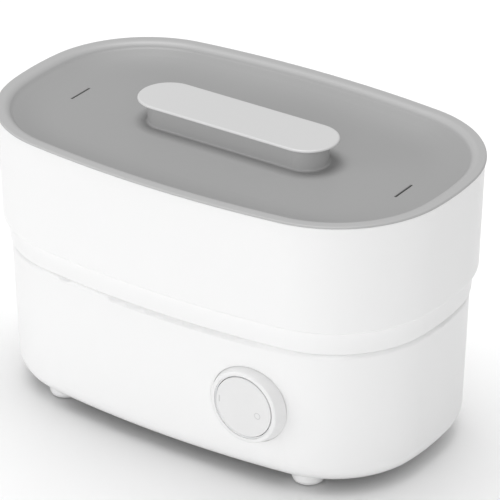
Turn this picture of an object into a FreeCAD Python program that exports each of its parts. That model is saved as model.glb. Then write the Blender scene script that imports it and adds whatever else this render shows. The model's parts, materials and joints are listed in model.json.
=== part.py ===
"""Compact steam steriliser: base with heater and knob, upper housing, rack, tray and lid.

Units are millimetres, +Z is up and the floor is z = 0. The origin is under the middle
of the oval body. +X runs along the body's length and the control knob faces -Y.
"""
import FreeCAD, Part
import math
import os

V = FreeCAD.Vector
UP = V(0, 0, 1)
REARWARD = V(0, 1, 0)

# Plan outline of the lid rim: tangent arcs. Every other oval is an inward offset of it.
HALF_LENGTH = 145.0
HALF_DEPTH = 88.0
SIDE_RADIUS = 641.0
END_RADIUS = 190.0
CORNER_RADIUS = 70.5

# Levels, from the floor up, and the inset of the outer wall at each of them.
FOOT_HEIGHT = 6.7
BASE_TOP = 93.0
HOUSING_BOTTOM = 93.5
STEP_BOTTOM = 106.7
STEP_TOP = 108.5
HOUSING_TOP = 173.9
RIM_BOTTOM = 174.2
RIM_TOP = 175.4
PANEL_TOP = 166.7
PLATE_BOTTOM = 179.2
PLATE_TOP = 182.2

BASE_BOTTOM_INSET = 9.3
BASE_TOP_INSET = 6.9
BAND_BOTTOM_INSET = 6.1
BAND_TOP_INSET = 5.6
WALL_BOTTOM_INSET = 2.3
WALL_TOP_INSET = 0.7

WALL = 2.5
BODY_GAP = 0.3
EPS = 1.0

# Base shell.
BASE_BOTTOM_ROUND = 13.0
BASE_TOP_ROUND = 3.5
COVER_INSET = 42.0
COVER_GAP = 0.3
COVER_LEDGE = 6.0
COVER_LEDGE_OVERLAP = 4.0
LEDGE_THICKNESS = 2.0
COVER_RECESS = 0.4
COVER_SCREW_X = 60.0
COVER_BOSS_RADIUS = 3.5
COVER_BOSS_HEIGHT = 9.5
COVER_SLOT_HALF = 9.0
COVER_SLOT_RADIUS = 1.5
COVER_SLOT_PITCH = 7.0
COVER_SLOT_STEPS = 4
STANDOFF_RADIUS = 3.0
STANDOFF_MARGIN = 5.0
BASIN_LEDGE_TOP = 83.2

# Feet.
FOOT_X = 85.5
FOOT_Y = 54.2
FOOT_RADIUS = 9.5
FOOT_TOP_RADIUS = 9.2
FOOT_SOLE_RADIUS = 7.2
FOOT_BEVEL_RADIUS = 8.8
FOOT_BEVEL_Z = 1.2
FOOT_SIDE_Z = 2.8
PAD_RADIUS = 5.8
PAD_HEIGHT = 1.6
PAD_PROUD = 0.4
PAD_ROUND = 0.3
FOOT_PLUG_RADIUS = 3.0
FOOT_SNAP_RADIUS = 3.7
FOOT_PLUG_TIP = 2.4
FOOT_PLUG_HEAD = 2.0

# Screws: a pan head and a shank that fills its own hole.
SHANK_RADIUS = 1.25
SHANK_CLEARANCE_RADIUS = 1.7
HEAD_RADIUS = 2.8
HEAD_HEIGHT = 1.8
DRIVE_SLOT_WIDTH = 0.8
DRIVE_SLOT_DEPTH = 0.7
COVER_SHANK = 7.5

# Control knob and its switch. Depths along Y are measured from the body's middle plane.
KNOB_X = 59.9
KNOB_Z = 51.8
KNOB_SEAT_Y = -74.3
RECESS_RADIUS = 24.3
RECESS_WALL = 2.0
KNOB_BACK_Y = KNOB_SEAT_Y - BODY_GAP
KNOB_HEIGHT = 7.9
KNOB_RADIUS = 24.1
KNOB_TOP_RADIUS = 21.8
KNOB_ROUND = 1.2
KNOB_CHAMFER = 0.5
KNOB_WEB_BOTTOM = 2.2
KNOB_WEB_TOP = 4.4
KNOB_SKIRT_INNER = 21.5
KNOB_HUB_RADIUS = 6.5
KNOB_HUB_BOTTOM = 0.2
FACE_RADIUS = 18.3
FACE_ROUND = 0.4
FACE_TOP = 7.6
RING_INNER = 18.7
RING_OUTER = 19.5
RING_RECESS = 0.9
MARK_DEPTH = 0.4
BAR_MARK_X = -16.0
BAR_MARK_Y = 0.7
BAR_MARK_HALF = 1.7
BAR_MARK_RADIUS = 0.45
LOOP_MARK_X = 9.5
LOOP_MARK_Y = -2.6
LOOP_MARK_OUTER = 2.1
LOOP_MARK_INNER = 1.5
SPINDLE_RADIUS = 3.0
SPINDLE_CLEARANCE = 0.05
SPINDLE_END_Y = -56.3
SWITCH_SEAT_Y = -67.8
SWITCH_SIZE = 20.0
SWITCH_DEPTH = 14.0
SWITCH_PAD_RADIUS = 12.0
SWITCH_TAB_PITCH = 6.0
SWITCH_TAB_WIDTH = 3.2
SWITCH_TAB_LENGTH = 6.0
SWITCH_TAB_THICKNESS = 0.8
SWITCH_TAB_DROP = 5.0
BUSHING_RADIUS = 4.5
BUSHING_CLEARANCE = 0.1
NUT_SEAT_Y = -71.8
NUT_POCKET_RADIUS = 9.0
NUT_CORNER_RADIUS = 7.2
NUT_HEIGHT = 2.0
NUT_SIDES = 6
LED_OFFSET = 16.0
LED_RADIUS = 2.5
LED_RECESS = 2.5
LED_FLANGE = 0.5
LED_FLANGE_HEIGHT = 1.0
LED_LENGTH = 4.0

# Control board on the bottom cover's standoffs.
BOARD_HALF_X = 45.0
BOARD_HALF_Y = 28.0
BOARD_BOTTOM = 18.7
BOARD_TOP = 20.3
RELAY = (-38.0, -20.0, -20.0, -6.0)
RELAY_HEIGHT = 15.0
TRANSFORMER = (-36.0, -12.0, 2.0, 22.0)
TRANSFORMER_HEIGHT = 17.0
CAPACITOR_X = 8.0
CAPACITOR_Y = -14.0
CAPACITOR_RADIUS = 5.0
CAPACITOR_HEIGHT = 13.0
CAPACITOR_ROUND = 0.8
CONNECTOR = (26.0, 40.0, -10.0, 10.0)
CONNECTOR_HEIGHT = 8.0

# Mains terminal block on the base's floor.
TERMINAL_X0 = -78.0
TERMINAL_X1 = -48.0
TERMINAL_Y0 = 49.0
TERMINAL_Y1 = 61.0
TERMINAL_HEIGHT = 14.0
TERMINAL_PITCH = 10.0
TERMINAL_SCREW_RADIUS = 2.4
TERMINAL_WELL_BOTTOM = 6.0
TERMINAL_SCREW_TOP = 9.0

# Cord gland in the rear wall.
GLAND_X = -60.0
GLAND_Z = 32.0
GLAND_SEAT_Y = 77.5
GLAND_BORE_RADIUS = 3.6
GLAND_BARREL_RADIUS = 6.0
GLAND_INNER_Y = 68.0
GLAND_FLANGE = 2.0
GLAND_FLANGE_LIP = 2.5
GLAND_SEAT_LIP = 3.5
GLAND_COLLAR_LIP = 1.2
GLAND_COLLAR_FRONT = 70.0
GLAND_COLLAR_REAR = 73.0

# Water basin and heater.
BASIN_RIM_TOP = 85.7
BASIN_RIM_INSET = 9.9
BASIN_WALL_INSET = 14.0
BASIN_DECK_TOP = 77.2
DISH_TOP_RADIUS = 58.0
DISH_BOTTOM_RADIUS = 48.0
DISH_FLOOR_TOP = 63.7
DISH_HOLE_RADIUS = 39.5
PLATE_RADIUS = 39.0
PLATE_FLANGE_RADIUS = 45.0
HEATER_TOP = 63.2
HEATER_FLANGE_BOTTOM = 58.2
HEATER_ROUND = 1.2
SHEET = 1.5
BASIN_WALL = 2.0
CLAMP_CLEARANCE = 1.0
CLAMP_LIP = 1.5
ELEMENT_RADIUS = 27.0
ELEMENT_TUBE_RADIUS = 3.5
ELEMENT_SWEEP = 320.0
ELEMENT_TURN = -70.0
PIN_RADIUS = 1.5
PIN_LENGTH = 10.0
PIN_TURN = 4.0
THERMOSTAT_CAN_RADIUS = 8.0
THERMOSTAT_CAN_HEIGHT = 6.0
THERMOSTAT_BODY_RADIUS = 6.5
THERMOSTAT_HEIGHT = 8.0
BRACKET_SHEET = 1.2
BRACKET_HALF_WIDTH = 6.0
BRACKET_REACH = 48.4
FUSE_X = 15.0
FUSE_RADIUS = 2.2
FUSE_HALF_LENGTH = 8.0

# Upper housing.
SKIRT_BOTTOM = BASIN_RIM_TOP + BODY_GAP
SKIRT_OUTER_INSET = 10.0
SKIRT_INNER_INSET = 12.2
RACK_LEDGE_TOP = 95.7
TRAY_LEDGE_TOP = 156.2
TRAY_LEDGE_INSET = 7.0
STEP_ROUND = 1.5
STEP_INNER_DROP = 0.5
HOUSING_TOP_ROUND = 0.6
HOUSING_BOTTOM_ROUND = 0.8
SKIRT_DRAFT = 0.4

# Rack with pegs and lifting loops.
RACK_BOTTOM = RACK_LEDGE_TOP + BODY_GAP
RACK_THICKNESS = 2.5
RACK_INSET = 9.4
PEG_X = 74.0
PEG_Y = 36.0
PEG_HEIGHT = 33.0
PEG_FIN = 2.4
PEG_BASE_RADIUS = 13.0
PEG_TIP_RADIUS = 8.0
PEG_TIP_CHAMFER = 3.0
PEG_STEM_RADIUS = 3.0
PEG_POST_RADIUS = 4.0
RACK_SLOT_HALF = 8.0
RACK_SLOT_RADIUS = 1.8
RACK_SLOT_X = 24.0
RACK_SLOT_Y = 12.0
RACK_SLOT_STEPS = 4
RACK_SIDE_SLOT_X = 37.0
RACK_SIDE_SLOT_Y = 62.0
RACK_ROUND = 0.8
LOOP_X = 116.0
LOOP_WIDTH = 30.0
LOOP_HEIGHT = 39.0
LOOP_BAR = 4.0
LOOP_ROUND = 8.0

# Small-parts tray.
TRAY_RIM_BOTTOM = TRAY_LEDGE_TOP + BODY_GAP
TRAY_RIM_INSET = 4.3
TRAY_WALL_INSET = 8.0
TRAY_FLOOR_BOTTOM = 144.2
TRAY_FLOOR_INSET = 9.5
TRAY_WALL = 2.0
TRAY_RIM_ROUND = 0.8
TRAY_FLOOR_ROUND = 2.0
TRAY_SLOT_HALF = 7.0
TRAY_SLOT_RADIUS = 1.8
TRAY_SLOT_X = 24.0
TRAY_SLOT_Y = 13.0
TRAY_SLOT_STEPS = 4
TRAY_SLOT_REACH = 6

# Lid and its handle.
LID_SKIRT_INSET = 4.2
LID_RIM_WIDTH = 6.7
PANEL_THICKNESS = 2.0
PANEL_FOOT = 172.1
PANEL_FOOT_INSET = 9.4
PANEL_SLOPE_INSET = 24.0
PANEL_SLOPE_ROUND = 50.0
PANEL_FOOT_ROUND = 3.0
RIM_OUTER_ROUND = 0.8
RIM_INNER_ROUND = 5.0
SLOT_X = 110.6
SLOT_LENGTH = 18.0
SLOT_WIDTH = 1.2
SLOT_ROUND = 0.5
HANDLE_STRAIGHT = 47.1
HANDLE_RADIUS = 18.3
HANDLE_UNDERCUT = 3.0
HANDLE_EDGE_Z = 181.0
HANDLE_ROUND = 1.1
PEDESTAL_STRAIGHT = 46.0
PEDESTAL_RADIUS = 13.5
PEDESTAL_ROUND = 1.4
HANDLE_SCREW_X = 38.0
HANDLE_SCREW_HEAD = 4.2
HANDLE_SKIN = 0.8


# ---------------------------------------------------------------- shared shapes

def corner_centre():
    """Centre of the corner arc, inside both the side arc and the end arc."""
    side = V(0, HALF_DEPTH - SIDE_RADIUS, 0)
    end = V(HALF_LENGTH - END_RADIUS, 0, 0)
    from_side = SIDE_RADIUS - CORNER_RADIUS
    from_end = END_RADIUS - CORNER_RADIUS
    span = (end - side).Length
    forward = (end - side).normalize()
    outward = V(forward.y, -forward.x, 0)
    along = (from_side ** 2 - from_end ** 2 + span ** 2) / (2 * span)
    across = math.sqrt(from_side ** 2 - along ** 2)
    return side + forward * along + outward * across


def oval_wire(inset, z):
    """Closed oval outline, offset inwards by inset, at height z."""
    side = V(0, HALF_DEPTH - SIDE_RADIUS, 0)
    end = V(HALF_LENGTH - END_RADIUS, 0, 0)
    corner = corner_centre()
    to_side = (corner - side).normalize()
    to_end = (corner - end).normalize()
    to_corner = (to_side + to_end).normalize()
    side_point = side + to_side * (SIDE_RADIUS - inset)
    end_point = end + to_end * (END_RADIUS - inset)
    corner_point = corner + to_corner * (CORNER_RADIUS - inset)

    def at(point, sign_x, sign_y):
        return V(point.x * sign_x, point.y * sign_y, z)

    edges = []
    for sign_x, sign_y in ((1, 1), (1, -1), (-1, -1), (-1, 1)):
        start = side_point if sign_x == sign_y else end_point
        finish = end_point if sign_x == sign_y else side_point
        edges.append(arc(at(start, sign_x, sign_y), at(corner_point, sign_x, sign_y),
                         at(finish, sign_x, sign_y)))
        if sign_x == sign_y:
            edges.append(arc(at(end_point, sign_x, 1), V(sign_x * (HALF_LENGTH - inset), 0, z),
                             at(end_point, sign_x, -1)))
        else:
            edges.append(arc(at(side_point, 1, sign_y), V(0, sign_y * (HALF_DEPTH - inset), z),
                             at(side_point, -1, sign_y)))
    return Part.Wire(Part.__sortEdges__(edges))


def arc(start, middle, finish):
    return Part.Arc(start, middle, finish).toShape()


def oval_solid(*levels):
    """Solid through (z, inset) levels, with straight walls between them."""
    return Part.makeLoft([oval_wire(inset, z) for z, inset in levels], True, True)


def oval_ring(bottom, top, outer_inset, inner_inset):
    outer = oval_solid((bottom, outer_inset), (top, outer_inset))
    return outer.cut(oval_solid((bottom - EPS, inner_inset), (top + EPS, inner_inset)))


def side_y(inset, x):
    """Half-depth of the oval at x, where x is on the side arc."""
    radius = SIDE_RADIUS - inset
    return math.sqrt(radius ** 2 - x ** 2) - (SIDE_RADIUS - HALF_DEPTH)


def base_inset(z):
    """Inset of the base's outer wall at height z."""
    share = (z - FOOT_HEIGHT) / (BASE_TOP - FOOT_HEIGHT)
    return BASE_BOTTOM_INSET + share * (BASE_TOP_INSET - BASE_BOTTOM_INSET)


def housing_inset(z):
    """Inset of the upper housing's outer wall at height z, above its step."""
    share = (z - STEP_TOP) / (HOUSING_TOP - STEP_TOP)
    return WALL_BOTTOM_INSET + share * (WALL_TOP_INSET - WALL_BOTTOM_INSET)


def edges_at(shape, z, half_x=HALF_LENGTH, half_y=HALF_LENGTH):
    """Edges that lie flat at height z, inside a rectangle about the Z axis."""
    found = []
    for edge in shape.Edges:
        limits = edge.BoundBox
        flat = abs(limits.ZMin - z) < 0.01 and abs(limits.ZMax - z) < 0.01
        near_x = max(limits.XMax, -limits.XMin) < half_x + EPS
        near_y = max(limits.YMax, -limits.YMin) < half_y + EPS
        if flat and near_x and near_y:
            found.append(edge)
    return found


def rounded(shape, z, radius, half_x=HALF_LENGTH, half_y=HALF_LENGTH):
    """Shape with its flat edges at height z rounded."""
    return shape.makeFillet(radius, edges_at(shape, z, half_x, half_y))


def cylinder(radius, bottom, top, x=0.0, y=0.0):
    return Part.makeCylinder(radius, top - bottom, V(x, y, bottom), UP)


def cylinder_y(radius, front, rear, x, z):
    return Part.makeCylinder(radius, rear - front, V(x, front, z), REARWARD)


def ring(inner, outer, bottom, top):
    return cylinder(outer, bottom, top).cut(cylinder(inner, bottom - EPS, top + EPS))


def box(x0, x1, y0, y1, z0, z1):
    return Part.makeBox(x1 - x0, y1 - y0, z1 - z0, V(x0, y0, z0))


def revolved(points):
    """Solid of revolution about Z from (radius, height) points."""
    wire = Part.makePolygon([V(r, 0, h) for r, h in points + points[:1]])
    return Part.Face(wire).revolve(V(0, 0, 0), UP, 360)


def stadium_wire(straight, radius, z):
    """Outline of two half circles joined by straight sides along X."""
    east = V(straight, 0, z)
    west = V(-straight, 0, z)
    up = V(0, radius, 0)
    out = V(radius, 0, 0)
    return Part.Wire([
        Part.makeLine(west - up, east - up),
        arc(east - up, east + out, east + up),
        Part.makeLine(east + up, west + up),
        arc(west + up, west - out, west - up),
    ])


def stadium(straight, radius, bottom, top, x=0.0, y=0.0, along_y=False):
    """Prism with a stadium outline."""
    solid = Part.Face(stadium_wire(straight, radius, bottom)).extrude(V(0, 0, top - bottom))
    if along_y:
        solid.rotate(V(0, 0, 0), UP, 90)
    solid.translate(V(x, y, 0))
    return solid


def to_knob(shape):
    """Turn a shape built about Z to face the front, on the knob's axis."""
    shape.rotate(V(0, 0, 0), V(1, 0, 0), 90)
    shape.translate(V(KNOB_X, KNOB_BACK_Y, KNOB_Z))
    return shape


def pan_screw(x, y, head_bottom, head_radius, shank_top):
    """Screw driven upwards: a pan head under a shank."""
    seat = head_bottom + HEAD_HEIGHT
    head = cylinder(head_radius, head_bottom, seat, x, y)
    head = rounded(head, head_bottom, HEAD_HEIGHT / 3)
    half = DRIVE_SLOT_WIDTH / 2
    slot = box(x - head_radius, x + head_radius, y - half, y + half, head_bottom - EPS,
               head_bottom + DRIVE_SLOT_DEPTH)
    return head.cut(slot).fuse(cylinder(SHANK_RADIUS, seat, shank_top, x, y))


def four_corners(x, y):
    return [(x, y), (-x, y), (x, -y), (-x, -y)]


# ---------------------------------------------------------------- base

def base_cavity():
    top = BASE_TOP + EPS
    floor = FOOT_HEIGHT + WALL
    cavity = oval_solid((floor, base_inset(floor) + WALL), (top, base_inset(top) + WALL))
    return rounded(cavity, floor, BASE_BOTTOM_ROUND - WALL)


def base_housing():
    outer = oval_solid((FOOT_HEIGHT, BASE_BOTTOM_INSET), (BASE_TOP, BASE_TOP_INSET))
    outer = rounded(outer, FOOT_HEIGHT, BASE_BOTTOM_ROUND)
    outer = rounded(outer, BASE_TOP, BASE_TOP_ROUND)
    recess = cylinder_y(RECESS_RADIUS, -HALF_DEPTH, KNOB_SEAT_Y, KNOB_X, KNOB_Z)
    seat = outer.common(cylinder_y(RECESS_RADIUS + RECESS_WALL, -HALF_DEPTH,
                                   KNOB_SEAT_Y + RECESS_WALL, KNOB_X, KNOB_Z))
    gland_seat = cylinder_y(GLAND_BARREL_RADIUS + GLAND_SEAT_LIP, GLAND_INNER_Y, GLAND_SEAT_Y,
                            GLAND_X, GLAND_Z)
    shell = outer.fuse(gland_seat).cut(base_cavity()).fuse(seat).cut(recess)
    floor = FOOT_HEIGHT + WALL
    opening = oval_solid((0, COVER_INSET), (floor + EPS, COVER_INSET))
    cover_ledge = oval_ring(floor, floor + LEDGE_THICKNESS, COVER_INSET - COVER_LEDGE_OVERLAP,
                            COVER_INSET + COVER_LEDGE)
    basin_ledge = oval_ring(BASIN_LEDGE_TOP - LEDGE_THICKNESS, BASIN_LEDGE_TOP,
                            base_inset(BASIN_LEDGE_TOP) + WALL / 2, BASIN_WALL_INSET - EPS)
    inner_pad = cylinder_y(SWITCH_PAD_RADIUS, KNOB_SEAT_Y + EPS, SWITCH_SEAT_Y, KNOB_X, KNOB_Z)
    bosses = [cylinder(COVER_BOSS_RADIUS, floor, floor + COVER_BOSS_HEIGHT, x, y)
              for x, y in cover_screw_places()]
    shell = shell.cut(opening).fuse([cover_ledge, basin_ledge, inner_pad] + bosses)
    holes = [cylinder(SHANK_RADIUS, floor - EPS, floor + COVER_SHANK + BODY_GAP, x, y)
             for x, y in cover_screw_places()]
    holes += [cylinder(FOOT_PLUG_RADIUS, FOOT_HEIGHT - EPS, floor + EPS, x, y)
              for x, y in four_corners(FOOT_X, FOOT_Y)]
    holes.append(cylinder_y(BUSHING_RADIUS + BUSHING_CLEARANCE, KNOB_SEAT_Y - EPS,
                            SWITCH_SEAT_Y + EPS, KNOB_X, KNOB_Z))
    holes.append(cylinder_y(NUT_POCKET_RADIUS, KNOB_SEAT_Y - EPS, NUT_SEAT_Y, KNOB_X, KNOB_Z))
    holes.append(cylinder_y(LED_RADIUS, KNOB_SEAT_Y - EPS, SWITCH_SEAT_Y + EPS, KNOB_X,
                            KNOB_Z + LED_OFFSET))
    holes.append(cylinder_y(GLAND_BARREL_RADIUS, GLAND_INNER_Y, GLAND_SEAT_Y + EPS, GLAND_X,
                            GLAND_Z))
    return shell.cut(holes)


def cover_screw_places():
    inset = COVER_INSET + COVER_LEDGE / 2
    return four_corners(COVER_SCREW_X, side_y(inset, COVER_SCREW_X))


def bottom_cover():
    bottom = FOOT_HEIGHT + COVER_RECESS
    top = FOOT_HEIGHT + WALL
    inset = COVER_INSET + COVER_GAP
    plate = oval_solid((bottom, inset), (top, inset))
    places = four_corners(BOARD_HALF_X - STANDOFF_MARGIN, BOARD_HALF_Y - STANDOFF_MARGIN)
    standoffs = [cylinder(STANDOFF_RADIUS, top, BOARD_BOTTOM, x, y) for x, y in places]
    cuts = [cylinder(SHANK_CLEARANCE_RADIUS, bottom - EPS, top + EPS, x, y)
            for x, y in cover_screw_places()]
    for step in range(-COVER_SLOT_STEPS, COVER_SLOT_STEPS + 1):
        cuts.append(stadium(COVER_SLOT_HALF, COVER_SLOT_RADIUS, bottom - EPS, top + EPS,
                            step * COVER_SLOT_PITCH, 0.0, along_y=True))
    return plate.fuse(standoffs).cut(cuts)


def cover_screws():
    head_bottom = FOOT_HEIGHT + COVER_RECESS - HEAD_HEIGHT
    shank_top = FOOT_HEIGHT + WALL + COVER_SHANK
    return [pan_screw(x, y, head_bottom, HEAD_RADIUS, shank_top) for x, y in cover_screw_places()]


def foot(x, y):
    lip = FOOT_HEIGHT + WALL
    body = revolved([
        (0, PAD_PROUD), (FOOT_SOLE_RADIUS, PAD_PROUD), (FOOT_BEVEL_RADIUS, FOOT_BEVEL_Z),
        (FOOT_RADIUS, FOOT_SIDE_Z), (FOOT_TOP_RADIUS, FOOT_HEIGHT),
        (FOOT_PLUG_RADIUS, FOOT_HEIGHT),
        (FOOT_PLUG_RADIUS, lip), (FOOT_SNAP_RADIUS, lip), (FOOT_PLUG_TIP, lip + FOOT_PLUG_HEAD),
        (0, lip + FOOT_PLUG_HEAD),
    ])
    body = body.cut(cylinder(PAD_RADIUS, 0, PAD_HEIGHT))
    body.translate(V(x, y, 0))
    return body


def foot_pads():
    pads = []
    for x, y in four_corners(FOOT_X, FOOT_Y):
        pads.append(rounded(cylinder(PAD_RADIUS, 0, PAD_HEIGHT, x, y), 0, PAD_ROUND))
    return pads


def cord_gland():
    flange = cylinder_y(GLAND_BARREL_RADIUS + GLAND_FLANGE_LIP, GLAND_SEAT_Y,
                        GLAND_SEAT_Y + GLAND_FLANGE, GLAND_X, GLAND_Z)
    barrel = cylinder_y(GLAND_BARREL_RADIUS, GLAND_INNER_Y, GLAND_SEAT_Y, GLAND_X, GLAND_Z)
    collar = cylinder_y(GLAND_BARREL_RADIUS + GLAND_COLLAR_LIP, GLAND_COLLAR_FRONT,
                        GLAND_COLLAR_REAR, GLAND_X, GLAND_Z)
    bore = cylinder_y(GLAND_BORE_RADIUS, GLAND_INNER_Y - EPS, GLAND_SEAT_Y + GLAND_FLANGE + EPS,
                      GLAND_X, GLAND_Z)
    return flange.fuse([barrel, collar]).cut(bore)


# ---------------------------------------------------------------- basin and heater

def water_basin():
    deck_bottom = BASIN_DECK_TOP - WALL
    floor_bottom = DISH_FLOOR_TOP - WALL
    rim = oval_solid((BASIN_LEDGE_TOP, BASIN_RIM_INSET), (BASIN_RIM_TOP, BASIN_RIM_INSET))
    tub = oval_solid((deck_bottom, BASIN_WALL_INSET), (BASIN_LEDGE_TOP + EPS, BASIN_WALL_INSET))
    dish = Part.makeCone(DISH_BOTTOM_RADIUS + WALL, DISH_TOP_RADIUS + WALL,
                         BASIN_DECK_TOP - floor_bottom, V(0, 0, floor_bottom), UP)
    inner_inset = BASIN_WALL_INSET + BASIN_WALL
    tub_space = oval_solid((BASIN_DECK_TOP, inner_inset), (BASIN_RIM_TOP + EPS, inner_inset))
    dish_space = Part.makeCone(DISH_BOTTOM_RADIUS, DISH_TOP_RADIUS,
                               BASIN_DECK_TOP - DISH_FLOOR_TOP, V(0, 0, DISH_FLOOR_TOP), UP)
    hole = cylinder(DISH_HOLE_RADIUS, floor_bottom - EPS, DISH_FLOOR_TOP + EPS)
    return rim.fuse([tub, dish]).cut([tub_space, dish_space, hole])


def heating_plate():
    flange_top = HEATER_FLANGE_BOTTOM + SHEET
    inner = PLATE_RADIUS - SHEET
    hat = revolved([
        (0, HEATER_TOP - SHEET), (inner, HEATER_TOP - SHEET), (inner, HEATER_FLANGE_BOTTOM),
        (PLATE_FLANGE_RADIUS, HEATER_FLANGE_BOTTOM), (PLATE_FLANGE_RADIUS, flange_top),
        (PLATE_RADIUS, flange_top), (PLATE_RADIUS, HEATER_TOP), (0, HEATER_TOP),
    ])
    return rounded(hat, HEATER_TOP, HEATER_ROUND)


def plate_seal():
    return ring(PLATE_RADIUS, PLATE_FLANGE_RADIUS, HEATER_FLANGE_BOTTOM + SHEET,
                DISH_FLOOR_TOP - WALL)


def plate_clamp():
    return ring(PLATE_RADIUS + CLAMP_CLEARANCE, PLATE_FLANGE_RADIUS + CLAMP_LIP,
                HEATER_FLANGE_BOTTOM - SHEET, HEATER_FLANGE_BOTTOM)


def heating_element():
    height = HEATER_TOP - SHEET - ELEMENT_TUBE_RADIUS
    centre = V(ELEMENT_RADIUS, 0, height)
    circle = Part.Wire(Part.Circle(centre, REARWARD, ELEMENT_TUBE_RADIUS).toShape())
    tube = Part.Face(circle).revolve(V(0, 0, 0), UP, ELEMENT_SWEEP)
    pin_turn = math.radians(PIN_TURN)
    pins = []
    for turn in (pin_turn, math.radians(ELEMENT_SWEEP) - pin_turn):
        x = ELEMENT_RADIUS * math.cos(turn)
        y = ELEMENT_RADIUS * math.sin(turn)
        pins.append(cylinder(PIN_RADIUS, height - PIN_LENGTH, height, x, y))
    element = tube.fuse(pins)
    element.rotate(V(0, 0, 0), UP, ELEMENT_TURN)
    return element


def thermostat():
    top = HEATER_TOP - SHEET
    can_bottom = top - THERMOSTAT_CAN_HEIGHT
    can = cylinder(THERMOSTAT_CAN_RADIUS, can_bottom, top)
    body = cylinder(THERMOSTAT_BODY_RADIUS, top - THERMOSTAT_HEIGHT, can_bottom)
    return can.fuse(body)


def thermostat_bracket():
    top = HEATER_TOP - SHEET - THERMOSTAT_HEIGHT
    bottom = top - BRACKET_SHEET
    half = BRACKET_HALF_WIDTH
    strip = box(-BRACKET_REACH, BRACKET_REACH, -half, half, bottom, top)
    legs = []
    for sign in (1, -1):
        near = min(sign * BRACKET_REACH, sign * (BRACKET_REACH - BRACKET_SHEET))
        legs.append(box(near, near + BRACKET_SHEET, -half, half, bottom, DISH_FLOOR_TOP - WALL))
    return strip.fuse(legs)


def thermal_fuse():
    z = HEATER_TOP - SHEET - FUSE_RADIUS
    return cylinder_y(FUSE_RADIUS, -FUSE_HALF_LENGTH, FUSE_HALF_LENGTH, FUSE_X, z)


# ---------------------------------------------------------------- electrical parts

def control_board():
    return box(-BOARD_HALF_X, BOARD_HALF_X, -BOARD_HALF_Y, BOARD_HALF_Y, BOARD_BOTTOM, BOARD_TOP)


def board_parts():
    relay = box(*RELAY, BOARD_TOP, BOARD_TOP + RELAY_HEIGHT)
    transformer = box(*TRANSFORMER, BOARD_TOP, BOARD_TOP + TRANSFORMER_HEIGHT)
    connector = box(*CONNECTOR, BOARD_TOP, BOARD_TOP + CONNECTOR_HEIGHT)
    capacitor_top = BOARD_TOP + CAPACITOR_HEIGHT
    capacitor = cylinder(CAPACITOR_RADIUS, BOARD_TOP, capacitor_top, CAPACITOR_X, CAPACITOR_Y)
    return [relay, transformer, connector, rounded(capacitor, capacitor_top, CAPACITOR_ROUND)]


def terminal_plugs(bottom, top):
    """Three cylinders in a row, for the block's wells and the screws in them."""
    floor = FOOT_HEIGHT + WALL
    middle_x = (TERMINAL_X0 + TERMINAL_X1) / 2
    middle_y = (TERMINAL_Y0 + TERMINAL_Y1) / 2
    return [cylinder(TERMINAL_SCREW_RADIUS, floor + bottom, floor + top,
                     middle_x + step * TERMINAL_PITCH, middle_y) for step in (-1, 0, 1)]


def terminal_block():
    floor = FOOT_HEIGHT + WALL
    block = box(TERMINAL_X0, TERMINAL_X1, TERMINAL_Y0, TERMINAL_Y1, floor,
                floor + TERMINAL_HEIGHT)
    return block.cut(terminal_plugs(TERMINAL_WELL_BOTTOM, TERMINAL_HEIGHT + EPS))


def terminal_screws():
    return terminal_plugs(TERMINAL_WELL_BOTTOM, TERMINAL_SCREW_TOP)


def rotary_switch():
    half = SWITCH_SIZE / 2
    rear = SWITCH_SEAT_Y + SWITCH_DEPTH
    body = box(KNOB_X - half, KNOB_X + half, SWITCH_SEAT_Y, rear, KNOB_Z - half, KNOB_Z + half)
    front = NUT_SEAT_Y - NUT_HEIGHT
    bushing = cylinder_y(BUSHING_RADIUS, front, SWITCH_SEAT_Y, KNOB_X, KNOB_Z)
    bore = cylinder_y(SPINDLE_RADIUS + SPINDLE_CLEARANCE, front - EPS,
                      SPINDLE_END_Y + 2 * BODY_GAP, KNOB_X, KNOB_Z)
    tab_bottom = KNOB_Z - SWITCH_TAB_DROP - SWITCH_TAB_THICKNESS / 2
    tabs = []
    for step in (-1, 0, 1):
        x = KNOB_X + step * SWITCH_TAB_PITCH
        tabs.append(box(x - SWITCH_TAB_WIDTH / 2, x + SWITCH_TAB_WIDTH / 2, rear,
                        rear + SWITCH_TAB_LENGTH, tab_bottom, tab_bottom + SWITCH_TAB_THICKNESS))
    return body.fuse([bushing] + tabs).cut(bore)


def switch_nut():
    corners = []
    for n in range(NUT_SIDES + 1):
        turn = math.radians(360 * n / NUT_SIDES)
        corners.append(V(math.cos(turn), 0, math.sin(turn)) * NUT_CORNER_RADIUS)
    nut = Part.Face(Part.makePolygon(corners)).extrude(V(0, -NUT_HEIGHT, 0))
    nut.translate(V(KNOB_X, NUT_SEAT_Y, KNOB_Z))
    return nut.cut(cylinder_y(BUSHING_RADIUS, NUT_SEAT_Y - NUT_HEIGHT - EPS, NUT_SEAT_Y + EPS,
                              KNOB_X, KNOB_Z))


def indicator_lamp():
    z = KNOB_Z + LED_OFFSET
    front = KNOB_SEAT_Y + LED_RECESS
    flange_front = KNOB_SEAT_Y + RECESS_WALL
    body = cylinder_y(LED_RADIUS, front, front + LED_LENGTH, KNOB_X, z)
    dome = Part.makeSphere(LED_RADIUS, V(KNOB_X, front, z), REARWARD)
    dome = dome.common(cylinder_y(LED_RADIUS + EPS, front - LED_RADIUS, front, KNOB_X, z))
    flange = cylinder_y(LED_RADIUS + LED_FLANGE, flange_front,
                        flange_front + LED_FLANGE_HEIGHT, KNOB_X, z)
    return body.fuse([dome, flange])


# ---------------------------------------------------------------- knob

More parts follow.
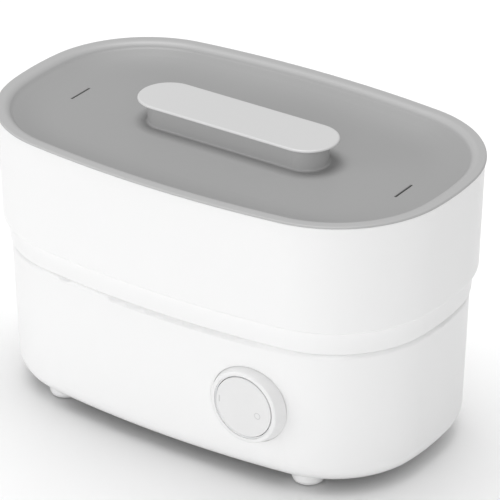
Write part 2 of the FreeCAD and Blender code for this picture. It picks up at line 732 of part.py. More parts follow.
def knob_collar():
    collar = revolved([
        (SPINDLE_RADIUS, KNOB_HUB_BOTTOM), (KNOB_HUB_RADIUS, KNOB_HUB_BOTTOM),
        (KNOB_HUB_RADIUS, KNOB_WEB_BOTTOM),
        (KNOB_SKIRT_INNER, KNOB_WEB_BOTTOM), (KNOB_SKIRT_INNER, 0),
        (KNOB_RADIUS - KNOB_CHAMFER, 0), (KNOB_RADIUS, KNOB_CHAMFER),
        (KNOB_TOP_RADIUS, KNOB_HEIGHT), (RING_OUTER, KNOB_HEIGHT), (RING_OUTER, KNOB_WEB_TOP),
        (SPINDLE_RADIUS, KNOB_WEB_TOP),
    ])
    crown = [edge for edge in edges_at(collar, KNOB_HEIGHT)
             if edge.BoundBox.XMax > KNOB_TOP_RADIUS - BODY_GAP]
    return to_knob(collar.makeFillet(KNOB_ROUND, crown))


def knob_light_ring():
    band = ring(RING_INNER, RING_OUTER, KNOB_WEB_TOP, KNOB_HEIGHT - RING_RECESS)
    return to_knob(band)


def mark_shapes(bottom, top):
    bar = stadium(BAR_MARK_HALF, BAR_MARK_RADIUS, bottom, top, BAR_MARK_X, BAR_MARK_Y,
                  along_y=True)
    loop = ring(LOOP_MARK_INNER, LOOP_MARK_OUTER, bottom, top)
    loop.translate(V(LOOP_MARK_X, LOOP_MARK_Y, 0))
    return [bar, loop]


def knob_face():
    disc = rounded(cylinder(FACE_RADIUS, KNOB_WEB_TOP, FACE_TOP), FACE_TOP, FACE_ROUND)
    return to_knob(disc.cut(mark_shapes(FACE_TOP - MARK_DEPTH, FACE_TOP + EPS)))


def knob_marks():
    return [to_knob(mark) for mark in mark_shapes(FACE_TOP - MARK_DEPTH, FACE_TOP)]


def knob_spindle():
    return cylinder_y(SPINDLE_RADIUS, KNOB_BACK_Y - KNOB_WEB_TOP, SPINDLE_END_Y, KNOB_X, KNOB_Z)


# ---------------------------------------------------------------- upper housing

def upper_housing():
    wall = oval_solid((HOUSING_BOTTOM, BAND_BOTTOM_INSET), (STEP_BOTTOM, BAND_TOP_INSET),
                      (STEP_TOP, WALL_BOTTOM_INSET), (HOUSING_TOP, WALL_TOP_INSET))
    wall = rounded(wall, STEP_TOP, STEP_ROUND)
    wall = rounded(wall, HOUSING_TOP, HOUSING_TOP_ROUND)
    wall = rounded(wall, HOUSING_BOTTOM, HOUSING_BOTTOM_ROUND)
    skirt = oval_solid((SKIRT_BOTTOM, SKIRT_OUTER_INSET + SKIRT_DRAFT),
                       (HOUSING_BOTTOM, SKIRT_OUTER_INSET), (RACK_LEDGE_TOP, SKIRT_OUTER_INSET))
    top = HOUSING_TOP + EPS
    chamber = oval_solid((RACK_LEDGE_TOP, BAND_BOTTOM_INSET + WALL),
                         (STEP_BOTTOM - STEP_INNER_DROP, BAND_TOP_INSET + WALL),
                         (STEP_TOP - STEP_INNER_DROP, WALL_BOTTOM_INSET + WALL),
                         (top, housing_inset(top) + WALL))
    throat = oval_solid((SKIRT_BOTTOM - EPS, SKIRT_INNER_INSET),
                        (RACK_LEDGE_TOP + EPS, SKIRT_INNER_INSET))
    shell = wall.fuse(skirt).cut([chamber, throat])
    ledge_bottom = TRAY_LEDGE_TOP - LEDGE_THICKNESS
    tray_ledge = oval_ring(ledge_bottom, TRAY_LEDGE_TOP, housing_inset(TRAY_LEDGE_TOP) + WALL / 2,
                           TRAY_LEDGE_INSET)
    return shell.fuse(tray_ledge)


# ---------------------------------------------------------------- rack

def peg_places():
    return [(column * PEG_X, row * PEG_Y) for column in (-1, 0, 1) for row in (-1, 1)]


def rack_slot(x, y, along_y=False):
    return stadium(RACK_SLOT_HALF, RACK_SLOT_RADIUS, RACK_BOTTOM - EPS,
                   RACK_BOTTOM + RACK_THICKNESS + EPS, x, y, along_y)


def bottle_rack():
    top = RACK_BOTTOM + RACK_THICKNESS
    plate = oval_solid((RACK_BOTTOM, RACK_INSET), (top, RACK_INSET))
    plate = rounded(plate, top, RACK_ROUND)
    cuts = [cylinder(PEG_STEM_RADIUS, RACK_BOTTOM - EPS, top + EPS, x, y)
            for x, y in peg_places()]
    for column in range(-RACK_SLOT_STEPS, RACK_SLOT_STEPS + 1):
        for row in (-1, 0, 1):
            cuts.append(rack_slot(column * RACK_SLOT_X, row * RACK_SLOT_Y))
    for row in (-1, 1):
        for column in (-1, 0, 1):
            cuts.append(rack_slot(column * RACK_SIDE_SLOT_X, row * RACK_SIDE_SLOT_Y))
        for column in (-1, 1):
            cuts.append(rack_slot(column * RACK_SIDE_SLOT_X, row * PEG_Y, along_y=True))
    for sign in (1, -1):
        for row in (-1, 1):
            y = row * (LOOP_WIDTH - LOOP_BAR) / 2
            x = sign * LOOP_X
            half = LOOP_BAR / 2
            cuts.append(box(x - half, x + half, y - half, y + half, RACK_BOTTOM - EPS, top + EPS))
    return plate.cut(cuts)


def peg(x, y):
    """Post with four tapering fins and a stem that plugs into the rack."""
    bottom = RACK_BOTTOM + RACK_THICKNESS
    top = bottom + PEG_HEIGHT
    shoulder = top - PEG_TIP_CHAMFER
    crown = PEG_TIP_RADIUS - PEG_TIP_CHAMFER
    post = Part.makeCone(PEG_POST_RADIUS, PEG_STEM_RADIUS, PEG_HEIGHT, V(0, 0, bottom), UP)
    stem = cylinder(PEG_STEM_RADIUS, RACK_BOTTOM, bottom)
    profile = [(-PEG_BASE_RADIUS, bottom), (PEG_BASE_RADIUS, bottom), (PEG_TIP_RADIUS, shoulder),
               (crown, top), (-crown, top), (-PEG_TIP_RADIUS, shoulder)]
    outline = Part.makePolygon([V(r, -PEG_FIN / 2, h) for r, h in profile + profile[:1]])
    fin = Part.Face(outline).extrude(V(0, PEG_FIN, 0))
    cross_fin = fin.copy()
    cross_fin.rotate(V(0, 0, 0), UP, 90)
    solid = post.fuse([stem, fin, cross_fin])
    solid.translate(V(x, y, 0))
    return solid


def rack_loop(x):
    """Upright lifting loop whose two legs plug into the rack."""
    top = RACK_BOTTOM + RACK_THICKNESS + LOOP_HEIGHT
    half = LOOP_BAR / 2
    span = LOOP_WIDTH / 2
    frame = box(x - half, x + half, -span, span, RACK_BOTTOM, top)
    round_edges = [edge for edge in edges_at(frame, top) if edge.Length < LOOP_BAR + EPS]
    frame = frame.makeFillet(LOOP_ROUND, round_edges)
    window = box(x - half - EPS, x + half + EPS, LOOP_BAR - span, span - LOOP_BAR,
                 RACK_BOTTOM - EPS, top - LOOP_BAR)
    return frame.cut(window)


# ---------------------------------------------------------------- tray

def small_parts_tray():
    rim_top = TRAY_RIM_BOTTOM + TRAY_WALL
    rim = oval_solid((TRAY_RIM_BOTTOM, TRAY_RIM_INSET), (rim_top, TRAY_RIM_INSET))
    rim = rounded(rim, rim_top, TRAY_RIM_ROUND)
    tub = oval_solid((TRAY_FLOOR_BOTTOM, TRAY_FLOOR_INSET), (TRAY_RIM_BOTTOM + EPS, TRAY_WALL_INSET))
    tub = rounded(tub, TRAY_FLOOR_BOTTOM, TRAY_FLOOR_ROUND)
    floor_top = TRAY_FLOOR_BOTTOM + TRAY_WALL
    space = oval_solid((floor_top, TRAY_FLOOR_INSET + TRAY_WALL),
                       (rim_top + EPS, TRAY_WALL_INSET + TRAY_WALL))
    cuts = [space]
    steps = range(-TRAY_SLOT_STEPS, TRAY_SLOT_STEPS + 1)
    for column in steps:
        for row in steps:
            if abs(column) + abs(row) > TRAY_SLOT_REACH:
                continue
            cuts.append(stadium(TRAY_SLOT_HALF, TRAY_SLOT_RADIUS, TRAY_FLOOR_BOTTOM - EPS,
                                floor_top + EPS, column * TRAY_SLOT_X, row * TRAY_SLOT_Y))
    return rim.fuse(tub).cut(cuts)


# ---------------------------------------------------------------- lid

def lid_recess():
    """Hollow of the lid: a leaning wall, then a slope that fades into the flat panel."""
    lean = (PANEL_FOOT_INSET - LID_RIM_WIDTH) / (RIM_TOP - PANEL_FOOT)
    hollow = oval_solid((PANEL_TOP, PANEL_SLOPE_INSET), (PANEL_FOOT, PANEL_FOOT_INSET),
                        (RIM_TOP + EPS, LID_RIM_WIDTH - EPS * lean))
    hollow = rounded(hollow, PANEL_FOOT, PANEL_FOOT_ROUND)
    return rounded(hollow, PANEL_TOP, PANEL_SLOPE_ROUND)


def lid_underside():
    """Space under the sloping edge of the panel, inside the skirt."""
    bottom = PANEL_TOP - PANEL_THICKNESS
    top = PANEL_FOOT - PANEL_THICKNESS
    space = oval_solid((bottom - EPS, LID_RIM_WIDTH), (top, LID_RIM_WIDTH))
    return space.cut(oval_solid((bottom - 2 * EPS, PANEL_SLOPE_INSET),
                                (bottom, PANEL_SLOPE_INSET), (top, PANEL_FOOT_INSET),
                                (top + EPS, PANEL_FOOT_INSET)))


def lid():
    panel_bottom = PANEL_TOP - PANEL_THICKNESS
    rim = oval_solid((RIM_BOTTOM, 0), (RIM_TOP, 0))
    rim = rounded(rim, RIM_TOP, RIM_OUTER_ROUND)
    skirt = oval_solid((panel_bottom, LID_SKIRT_INSET + SKIRT_DRAFT), (RIM_BOTTOM, LID_SKIRT_INSET),
                       (RIM_TOP - RIM_OUTER_ROUND, LID_SKIRT_INSET))
    shell = rim.fuse(skirt).cut(lid_recess())
    shell = rounded(shell, RIM_TOP, RIM_INNER_ROUND, HALF_LENGTH - LID_RIM_WIDTH,
                    HALF_DEPTH - LID_RIM_WIDTH)
    pedestal = stadium(PEDESTAL_STRAIGHT, PEDESTAL_RADIUS, PANEL_TOP - EPS, PLATE_BOTTOM)
    shell = shell.fuse(pedestal)
    shell = rounded(shell, PANEL_TOP, PEDESTAL_ROUND, PEDESTAL_STRAIGHT + PEDESTAL_RADIUS,
                    PEDESTAL_RADIUS)
    cuts = [lid_underside()]
    cuts.append(stadium(PEDESTAL_STRAIGHT, PEDESTAL_RADIUS - PANEL_THICKNESS, panel_bottom - EPS,
                        PLATE_BOTTOM - PANEL_THICKNESS))
    for sign in (1, -1):
        cuts.append(stadium((SLOT_LENGTH - SLOT_WIDTH) / 2, SLOT_WIDTH / 2, panel_bottom - EPS,
                            PANEL_TOP + EPS, sign * SLOT_X, 0.0, along_y=True))
        cuts.append(cylinder(SHANK_CLEARANCE_RADIUS, PLATE_BOTTOM - PANEL_THICKNESS - EPS,
                             PLATE_BOTTOM + EPS, sign * HANDLE_SCREW_X))
    shell = shell.cut(cuts)
    lips = [edge for edge in edges_at(shell, PANEL_TOP, SLOT_X + SLOT_WIDTH, SLOT_LENGTH)
            if min(abs(edge.BoundBox.XMin), abs(edge.BoundBox.XMax)) > SLOT_X - SLOT_WIDTH]
    return shell.makeFillet(SLOT_ROUND, lips)


def lid_handle():
    """Flat plate whose edge is undercut so that fingers can lift it."""
    levels = ((PLATE_BOTTOM, HANDLE_UNDERCUT), (HANDLE_EDGE_Z, 0.0), (PLATE_TOP, 0.0))
    outlines = [stadium_wire(HANDLE_STRAIGHT, HANDLE_RADIUS - inset, z) for z, inset in levels]
    plate = rounded(Part.makeLoft(outlines, True, True), PLATE_TOP, HANDLE_ROUND)
    holes = [cylinder(SHANK_RADIUS, PLATE_BOTTOM - EPS, PLATE_TOP - HANDLE_SKIN,
                      sign * HANDLE_SCREW_X) for sign in (1, -1)]
    return plate.cut(holes)


def handle_screws():
    head_bottom = PLATE_BOTTOM - PANEL_THICKNESS - HEAD_HEIGHT
    return [pan_screw(sign * HANDLE_SCREW_X, 0.0, head_bottom, HANDLE_SCREW_HEAD,
                      PLATE_TOP - HANDLE_SKIN - BODY_GAP) for sign in (1, -1)]


# ---------------------------------------------------------------- nodes

def foot_nodes():
    names = {(1, -1): "foot_front_right", (-1, -1): "foot_front_left",
             (1, 1): "foot_rear_right", (-1, 1): "foot_rear_left"}
    return {name: foot(sx * FOOT_X, sy * FOOT_Y) for (sx, sy), name in names.items()}


def nodes():
    made = {
        "base_housing": base_housing(),
        "bottom_cover": bottom_cover(),
        "cover_screws": Part.makeCompound(cover_screws()),
        "foot_pads": Part.makeCompound(foot_pads()),
        "cord_gland": cord_gland(),
        "water_basin": water_basin(),
        "heating_plate": heating_plate(),
        "plate_seal": plate_seal(),
        "plate_clamp": plate_clamp(),
        "heating_element": heating_element(),
        "thermostat": thermostat(),
        "thermostat_bracket": thermostat_bracket(),
        "thermal_fuse": thermal_fuse(),
        "control_board": control_board(),
        "board_parts": Part.makeCompound(board_parts()),
        "terminal_block": terminal_block(),
        "terminal_screws": Part.makeCompound(terminal_screws()),
        "rotary_switch": rotary_switch(),
        "switch_nut": switch_nut(),
        "indicator_lamp": indicator_lamp(),
        "knob_collar": knob_collar(),
        "knob_light_ring": knob_light_ring(),
        "knob_face": knob_face(),
        "knob_marks": Part.makeCompound(knob_marks()),
        "knob_spindle": knob_spindle(),
        "upper_housing": upper_housing(),
        "bottle_rack": bottle_rack(),
        "rack_pegs": Part.makeCompound([peg(x, y) for x, y in peg_places()]),
        "rack_loops": Part.makeCompound([rack_loop(sign * LOOP_X) for sign in (1, -1)]),
        "small_parts_tray": small_parts_tray(),
        "lid": lid(),
        "lid_handle": lid_handle(),
        "handle_screws": Part.makeCompound(handle_screws()),
    }
    made.update(foot_nodes())
    return made


os.makedirs("parts", exist_ok=True)
for name, shape in nodes().items():
    shape.exportStep("parts/" + name + ".step")
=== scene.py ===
import json
import math

import bpy
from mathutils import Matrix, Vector
from mathutils.bvhtree import BVHTree

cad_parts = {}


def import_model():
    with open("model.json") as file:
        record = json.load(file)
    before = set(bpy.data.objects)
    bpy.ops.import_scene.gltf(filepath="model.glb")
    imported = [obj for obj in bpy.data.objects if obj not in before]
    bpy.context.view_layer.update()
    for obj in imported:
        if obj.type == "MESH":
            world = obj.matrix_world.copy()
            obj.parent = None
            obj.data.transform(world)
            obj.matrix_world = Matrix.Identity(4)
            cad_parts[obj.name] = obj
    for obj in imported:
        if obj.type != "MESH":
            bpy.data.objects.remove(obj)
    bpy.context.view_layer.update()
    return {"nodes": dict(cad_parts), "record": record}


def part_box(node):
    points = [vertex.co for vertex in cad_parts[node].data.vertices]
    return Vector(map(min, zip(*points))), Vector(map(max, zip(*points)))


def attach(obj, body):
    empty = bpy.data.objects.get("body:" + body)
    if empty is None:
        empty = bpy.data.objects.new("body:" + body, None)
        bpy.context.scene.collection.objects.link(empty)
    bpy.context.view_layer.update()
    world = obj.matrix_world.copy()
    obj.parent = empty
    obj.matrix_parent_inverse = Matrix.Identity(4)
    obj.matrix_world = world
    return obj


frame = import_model()

NODES = frame["nodes"]


# ---------------------------------------------------------------- looks

# Scales are in features per metre, and lengths and depths in metres.
DRIFT_SCALE = 7.0
SHEEN_SCALE = 9.0
GRAIN_SCALE = 2600.0
STREAK_SCALE = 1800.0
GRAIN_DEPTH = 0.00002
ALONG_X = (0.05, 1.0, 1.0)

PLASTIC_SHEEN_SPREAD = 0.02
METAL_SHEEN_SPREAD = 0.06
METAL_DARKEST = 0.9
METAL_GRAIN = 0.15
SUBSURFACE_RADIUS = (1.0, 0.9, 0.8)
SUBSURFACE_DEPTH = 0.002

# The lid's grey is painted lighter above its panel, a painted sheen on the rim, and over its
# pedestal, painted light against the shade under the handle plate.
RIM_START = 0.1717
RIM_FULL = 0.1742
PEDESTAL_STRAIGHT = 0.0460
PEDESTAL_RADIUS = 0.0136
PEDESTAL_EDGE = 0.0010


def grey(level):
    return (level, level, level)


PLASTICS = {
    "shell_white": dict(colour=grey(0.88), roughness=0.30, grain=0.10, shift=0.01),
    # handle_white is the shell's white painted darker, as painted shade on the handle plate's
    # top, which faces the lights less.
    "handle_white": dict(colour=grey(0.64), roughness=0.34, grain=0.15),
    "knob_white": dict(colour=grey(0.82), roughness=0.28, grain=0.08, shift=0.01),
    "ring_clear": dict(colour=grey(0.90), roughness=0.25, subsurface=0.4),
    "knob_grey": dict(colour=grey(0.77), roughness=0.34, grain=0.12),
    "mark_grey": dict(colour=grey(0.62), roughness=0.5),
    "cover_white": dict(colour=grey(0.80), roughness=0.55, grain=0.5),
    "pad_rubber": dict(colour=grey(0.45), roughness=0.75, grain=0.6),
    "foot_white": dict(colour=grey(0.84), roughness=0.40),
    "gland_grey": dict(colour=grey(0.70), roughness=0.5, grain=0.4),
    "basin_grey": dict(colour=grey(0.78), roughness=0.3, grain=0.1),
    "silicone": dict(colour=(0.75, 0.75, 0.73), roughness=0.5, grain=0.1, subsurface=0.3),
    "fuse_white": dict(colour=(0.80, 0.77, 0.70), roughness=0.6),
    "board_green": dict(colour=(0.05, 0.20, 0.10), roughness=0.4, shift=0.2),
    "part_black": dict(colour=grey(0.03), roughness=0.45),
    "terminal_white": dict(colour=(0.80, 0.78, 0.72), roughness=0.5),
    "switch_black": dict(colour=grey(0.04), roughness=0.4),
    "lamp_clear": dict(colour=(0.85, 0.88, 0.90), roughness=0.15, subsurface=0.3),
    "rack_white": dict(colour=grey(0.86), roughness=0.42, grain=0.2, subsurface=0.1),
    "tray_white": dict(colour=grey(0.84), roughness=0.42, grain=0.2, subsurface=0.1),
}
METALS = {
    "steel": dict(colour=(0.62, 0.62, 0.63), roughness=0.35),
    "screw_steel": dict(colour=(0.55, 0.55, 0.56), roughness=0.35, brushed=False),
    "stainless": dict(colour=(0.70, 0.69, 0.67), roughness=0.25),
    "element_steel": dict(colour=(0.32, 0.30, 0.29), roughness=0.5, brushed=False),
    "aluminium_can": dict(colour=(0.78, 0.78, 0.79), roughness=0.3),
    "brass": dict(colour=(0.80, 0.62, 0.30), roughness=0.3, brushed=False),
}
LID_PANEL = grey(0.35)
# Painted light: the lighter grey for the rim's painted sheen and the pedestal's painted light.
LID_PAINTED_LIGHT = grey(0.45)
LID_ROUGHNESS = 0.42


# ---------------------------------------------------------------- node helpers

def node_material(name):
    """A new material and its principled shader, with nothing linked yet."""
    material = bpy.data.materials.new(name)
    material.use_nodes = True
    tree = material.node_tree
    tree.nodes.clear()
    output = tree.nodes.new("ShaderNodeOutputMaterial")
    shader = tree.nodes.new("ShaderNodeBsdfPrincipled")
    tree.links.new(shader.outputs["BSDF"], output.inputs["Surface"])
    return material, tree, shader


def position(tree):
    """The object coordinates of a point, which are the frame's own."""
    return tree.nodes.new("ShaderNodeTexCoord").outputs["Object"]


def noise(tree, scale, detail, stretch=None):
    """Noise with a number of features per metre, drawn out where its stretch is under 1."""
    where = position(tree)
    if stretch:
        mapping = tree.nodes.new("ShaderNodeMapping")
        mapping.inputs["Scale"].default_value = stretch
        tree.links.new(where, mapping.inputs["Vector"])
        where = mapping.outputs["Vector"]
    pattern = tree.nodes.new("ShaderNodeTexNoise")
    pattern.inputs["Scale"].default_value = scale
    pattern.inputs["Detail"].default_value = detail
    tree.links.new(where, pattern.inputs["Vector"])
    return pattern.outputs["Fac"]


def rgba(colour):
    """Four channels of a colour, or of a single level."""
    if isinstance(colour, float):
        colour = grey(colour)
    return (*colour, 1.0)


def ramp(tree, factor, low, high, start=0.25, stop=0.75):
    """Colour ramp from low to high, each a level or a colour."""
    node = tree.nodes.new("ShaderNodeValToRGB")
    node.color_ramp.interpolation = "EASE"
    for element, position, colour in zip(node.color_ramp.elements, (start, stop), (low, high)):
        element.position = position
        element.color = rgba(colour)
    tree.links.new(factor, node.inputs["Fac"])
    return node.outputs["Color"]


def bump(tree, shader, height, strength):
    """Relief of the grain's depth, at a strength from 0 to 1."""
    node = tree.nodes.new("ShaderNodeBump")
    node.inputs["Strength"].default_value = strength
    node.inputs["Distance"].default_value = GRAIN_DEPTH
    tree.links.new(height, node.inputs["Height"])
    tree.links.new(node.outputs["Normal"], shader.inputs["Normal"])


def arithmetic(tree, operation, first, second=0.0, clamp=False):
    """Math node on one or two values, each a number or a socket."""
    node = tree.nodes.new("ShaderNodeMath")
    node.operation = operation
    node.use_clamp = clamp
    for socket, value in zip(node.inputs, (first, second)):
        if isinstance(value, float):
            socket.default_value = value
        else:
            tree.links.new(value, socket)
    return node.outputs["Value"]


def fade(tree, value, start, stop, first, last, kind="LINEAR"):
    """A level that goes from first to last as a value goes from start to stop."""
    node = tree.nodes.new("ShaderNodeMapRange")
    node.interpolation_type = kind
    node.inputs["From Min"].default_value = start
    node.inputs["From Max"].default_value = stop
    node.inputs["To Min"].default_value = first
    node.inputs["To Max"].default_value = last
    tree.links.new(value, node.inputs["Value"])
    return node.outputs["Result"]


# ---------------------------------------------------------------- materials

def moulded(name, colour, roughness, grain=0.25, shift=0.02, specular=0.5, subsurface=0.0):
    """Moulded plastic: slow colour drift, slightly uneven sheen and a fine grain."""
    material, tree, shader = node_material(name)
    dark = tuple(c * (1.0 - shift) for c in colour)
    drift = noise(tree, DRIFT_SCALE, detail=1.0)
    tree.links.new(ramp(tree, drift, dark, colour), shader.inputs["Base Color"])
    sheen = ramp(tree, noise(tree, SHEEN_SCALE, detail=1.0),
                 roughness - PLASTIC_SHEEN_SPREAD, roughness + PLASTIC_SHEEN_SPREAD)
    tree.links.new(sheen, shader.inputs["Roughness"])
    shader.inputs["Specular IOR Level"].default_value = specular
    if subsurface:
        shader.inputs["Subsurface Weight"].default_value = subsurface
        shader.inputs["Subsurface Radius"].default_value = SUBSURFACE_RADIUS
        shader.inputs["Subsurface Scale"].default_value = SUBSURFACE_DEPTH
    bump(tree, shader, noise(tree, GRAIN_SCALE, detail=2.0), grain)
    return material


def metal(name, colour, roughness, brushed=True):
    """Metal with fine streaks along X, or a plain fine grain."""
    material, tree, shader = node_material(name)
    streak = noise(tree, STREAK_SCALE, detail=3.0, stretch=ALONG_X if brushed else None)
    dark = tuple(c * METAL_DARKEST for c in colour)
    tree.links.new(ramp(tree, streak, dark, colour), shader.inputs["Base Color"])
    sheen = ramp(tree, streak, roughness - METAL_SHEEN_SPREAD, roughness + METAL_SHEEN_SPREAD)
    tree.links.new(sheen, shader.inputs["Roughness"])
    shader.inputs["Metallic"].default_value = 1.0
    bump(tree, shader, streak, METAL_GRAIN)
    return material


def on_pedestal(tree, along, across):
    """1 over the pedestal's outline, which has straight sides and round ends, fading to 0."""
    past = arithmetic(tree, "SUBTRACT", arithmetic(tree, "ABSOLUTE", along),
                      PEDESTAL_STRAIGHT, clamp=True)
    offset = tree.nodes.new("ShaderNodeCombineXYZ")
    tree.links.new(past, offset.inputs["X"])
    tree.links.new(across, offset.inputs["Y"])
    reach = tree.nodes.new("ShaderNodeVectorMath")
    reach.operation = "LENGTH"
    tree.links.new(offset.outputs["Vector"], reach.inputs[0])
    return fade(tree, reach.outputs["Value"],
                PEDESTAL_RADIUS, PEDESTAL_RADIUS + PEDESTAL_EDGE, 1.0, 0.0)


def lid_plastic(name):
    """Grey plastic, painted lighter above a height (painted sheen on the rim) and on the
    pedestal (painted light against its shade).
    """
    material = moulded(name, LID_PANEL, LID_ROUGHNESS, shift=0.03)
    tree = material.node_tree
    shader = next(node for node in tree.nodes if node.type == "BSDF_PRINCIPLED")
    drifted = shader.inputs["Base Color"].links[0].from_socket
    split = tree.nodes.new("ShaderNodeSeparateXYZ")
    tree.links.new(position(tree), split.inputs["Vector"])
    above = fade(tree, split.outputs["Z"], RIM_START, RIM_FULL, 0.0, 1.0, "SMOOTHSTEP")
    # Mask of the painted light: the rim by height, and the pedestal by its outline.
    painted_light_mask = arithmetic(tree, "MAXIMUM", above,
                          on_pedestal(tree, split.outputs["X"], split.outputs["Y"]))
    blend = tree.nodes.new("ShaderNodeMix")
    blend.data_type = "RGBA"
    tree.links.new(painted_light_mask, blend.inputs["Factor"])
    tree.links.new(drifted, blend.inputs["A"])
    blend.inputs["B"].default_value = rgba(LID_PAINTED_LIGHT)
    tree.links.new(blend.outputs["Result"], shader.inputs["Base Color"])
    return material


MATERIALS = {name: moulded(name, **look) for name, look in PLASTICS.items()}
MATERIALS.update({name: metal(name, **look) for name, look in METALS.items()})
MATERIALS["lid_grey"] = lid_plastic("lid_grey")


def finish_cad_nodes():
    """Give each CAD node the material of its slot."""
    slots = {row["node"]: row["material_slot"] for row in frame["record"]["subparts"]}
    for name, obj in NODES.items():
        obj.data.materials.clear()
        obj.data.materials.append(MATERIALS[slots[name]])


finish_cad_nodes()


# ---------------------------------------------------------------- knob lip, in metres

LIP_STEPS = 144
LIP_THICKNESS = 0.0008
LIP_SINK = 0.00012          # below the wall's own surface
LIP_GAP = 0.00025           # clear of the collar
LIP_SEAT = 0.00018          # from the collar's widest radius out to the lip's outer edge
LIP_FEELER = 0.0006         # past the lip's outer edge, where the wall is felt for
LIP_LEAST_DEPTH = 0.0009    # of the recess, beyond the lip's own thickness
LIP_CREASE = 35.0           # degrees


def surface_of(name):
    """The surface of a CAD node, for ray casts."""
    mesh = NODES[name].data
    corners = [vertex.co for vertex in mesh.vertices]
    return BVHTree.FromPolygons(corners, [face.vertices for face in mesh.polygons])


def lip_sections():
    """Angle and four corners of each section of the lip, where the recess is deep enough."""
    wall = surface_of("base_housing")
    collar = surface_of("knob_collar")
    low, high = (Vector(corner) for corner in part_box("knob_collar"))
    middle = (low + high) / 2
    radius = (high.x - low.x) / 2
    outer = radius + LIP_SEAT
    sections = []
    for step in range(LIP_STEPS):
        turn = 2 * math.pi * step / LIP_STEPS
        out = Vector((math.cos(turn), 0.0, math.sin(turn)))
        start = middle + out * (outer + LIP_FEELER)
        start.y = low.y - radius
        front = wall.ray_cast(start, Vector((0.0, 1.0, 0.0)))[0].y
        if high.y - front < LIP_LEAST_DEPTH + LIP_THICKNESS:
            continue
        corners = []
        for depth in (LIP_SINK, LIP_SINK + LIP_THICKNESS):
            level = Vector((middle.x, front + depth, middle.z))
            hit = collar.ray_cast(level + out * 2 * radius, -out)[0]
            corners.append(level + out * ((hit - level).length + LIP_GAP))
            corners.append(level + out * outer)
        sections.append((turn, corners))
    return sections


def in_arc_order(sections):
    """The sections in one run, from the one that follows the widest jump in angle."""
    turns = [turn for turn, corners in sections]
    jumps = [(turns[n] - turns[n - 1]) % (2 * math.pi) for n in range(len(turns))]
    first = jumps.index(max(jumps))
    return sections[first:] + sections[:first]


def knob_lip():
    """Thin lip of the base that closes the gap round the knob, where the wall stands deepest."""
    sections = [corners for turn, corners in in_arc_order(lip_sections())]
    points = [point for corners in sections for point in corners]
    faces = []
    for n in range(len(sections) - 1):
        a = 4 * n
        b = a + 4
        faces += [(a, a + 1, b + 1, b), (a + 1, a + 3, b + 3, b + 1),
                  (a + 3, a + 2, b + 2, b + 3), (a + 2, a, b, b + 2)]
    last = 4 * (len(sections) - 1)
    faces += [(0, 2, 3, 1), (last, last + 1, last + 3, last + 2)]
    mesh = bpy.data.meshes.new("knob_lip")
    mesh.from_pydata(points, [], faces)
    mesh.shade_smooth()
    mesh.set_sharp_from_angle(angle=math.radians(LIP_CREASE))
    mesh.materials.append(MATERIALS["shell_white"])
    obj = bpy.data.objects.new("knob_lip", mesh)
    bpy.context.scene.collection.objects.link(obj)
    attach(obj, "base")


knob_lip()


# ---------------------------------------------------------------- stage, light, camera

FLOOR_REACH = 6.0
WORLD_STRENGTH = 0.39
LIGHT_DISTANCE = 1.9
LIGHT_TARGET = (0.0, 0.0, 0.1)

SENSOR_WIDTH = 36.0         # mm, as the focal length
FOCAL_LENGTH = 243.6
CAMERA_AZIMUTH = 34.3
CAMERA_ELEVATION = 28.04
CAMERA_TARGET = Vector((-0.0230, 0.0462, 0.0693))
CAMERA_DISTANCE = 2.0026
CAMERA_FAR = 20.0


def direction(azimuth, elevation):
    """Unit vector at an azimuth from -Y towards +X, and an elevation, in degrees."""
    turn = math.radians(azimuth)
    rise = math.radians(elevation)
    return Vector((math.sin(turn) * math.cos(rise), -math.cos(turn) * math.cos(rise),
                   math.sin(rise)))


def floor():
    mesh = bpy.data.meshes.new("floor")
    sides = ((-1, -1), (1, -1), (1, 1), (-1, 1))
    corners = [(FLOOR_REACH * x, FLOOR_REACH * y, 0) for x, y in sides]
    mesh.from_pydata(corners, [], [(0, 1, 2, 3)])
    obj = bpy.data.objects.new("floor", mesh)
    bpy.context.scene.collection.objects.link(obj)
    mesh.materials.append(moulded("floor_white", grey(0.93), 0.6, grain=0.0, specular=0.2))
    return obj


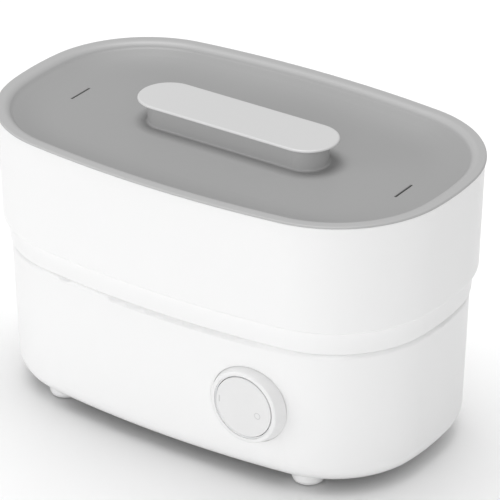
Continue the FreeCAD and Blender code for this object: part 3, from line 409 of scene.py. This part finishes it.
def softbox(name, place, target, size, power):
    """Rectangular area light that faces a target, with its power in watts."""
    light = bpy.data.lights.new(name, "AREA")
    light.shape = "RECTANGLE"
    light.size, light.size_y = size
    light.energy = power
    obj = bpy.data.objects.new(name, light)
    obj.location = place
    obj.rotation_euler = (Vector(target) - Vector(place)).to_track_quat("-Z", "Y").to_euler()
    bpy.context.scene.collection.objects.link(obj)
    return obj


def receive(light, obj, state):
    """Make one object the only receiver of a light, or the one it leaves out."""
    group = bpy.data.collections.new(light.name + "_receivers")
    group.objects.link(obj)
    group.collection_objects[0].light_linking.link_state = state
    light.light_linking.receiver_collection = group


def lights(ground):
    """Three lights that leave the floor out, and two that reach nothing else."""
    for_object = [
        softbox("key", direction(-43.0, 16.0) * LIGHT_DISTANCE, LIGHT_TARGET, (1.0, 1.0), 8.6),
        softbox("right", direction(32.0, 20.0) * LIGHT_DISTANCE, LIGHT_TARGET, (1.2, 1.2), 11.0),
        softbox("overhead", (-0.2, 0.0, 1.9), (0.0, 0.0, 0.0), (1.0, 1.0), 19.4),
    ]
    for_floor = [
        softbox("floor_left", (-0.6, 0.4, 2.0), (-0.3, 0.4, 0.0), (2.8, 2.6), 41.0),
        softbox("floor_right", (0.7, 0.5, 2.0), (0.3, 0.3, 0.0), (2.4, 2.4), 13.0),
    ]
    for light in for_object:
        receive(light, ground, "EXCLUDE")
    for light in for_floor:
        receive(light, ground, "INCLUDE")


def world():
    made = bpy.data.worlds.new("studio")
    made.use_nodes = True
    background = made.node_tree.nodes["Background"]
    background.inputs["Color"].default_value = rgba(1.0)
    background.inputs["Strength"].default_value = WORLD_STRENGTH
    bpy.context.scene.world = made


def camera():
    data = bpy.data.cameras.new("camera")
    data.sensor_width = SENSOR_WIDTH
    data.lens = FOCAL_LENGTH
    data.clip_end = CAMERA_FAR
    obj = bpy.data.objects.new("camera", data)
    back = direction(CAMERA_AZIMUTH, CAMERA_ELEVATION)
    obj.location = CAMERA_TARGET + back * CAMERA_DISTANCE
    obj.rotation_mode = "QUATERNION"
    obj.rotation_quaternion = (-back).to_track_quat("-Z", "Y")
    bpy.context.scene.collection.objects.link(obj)
    bpy.context.scene.camera = obj


ground = floor()
world()
lights(ground)
camera()
bpy.context.scene.view_settings.view_transform = "Standard"
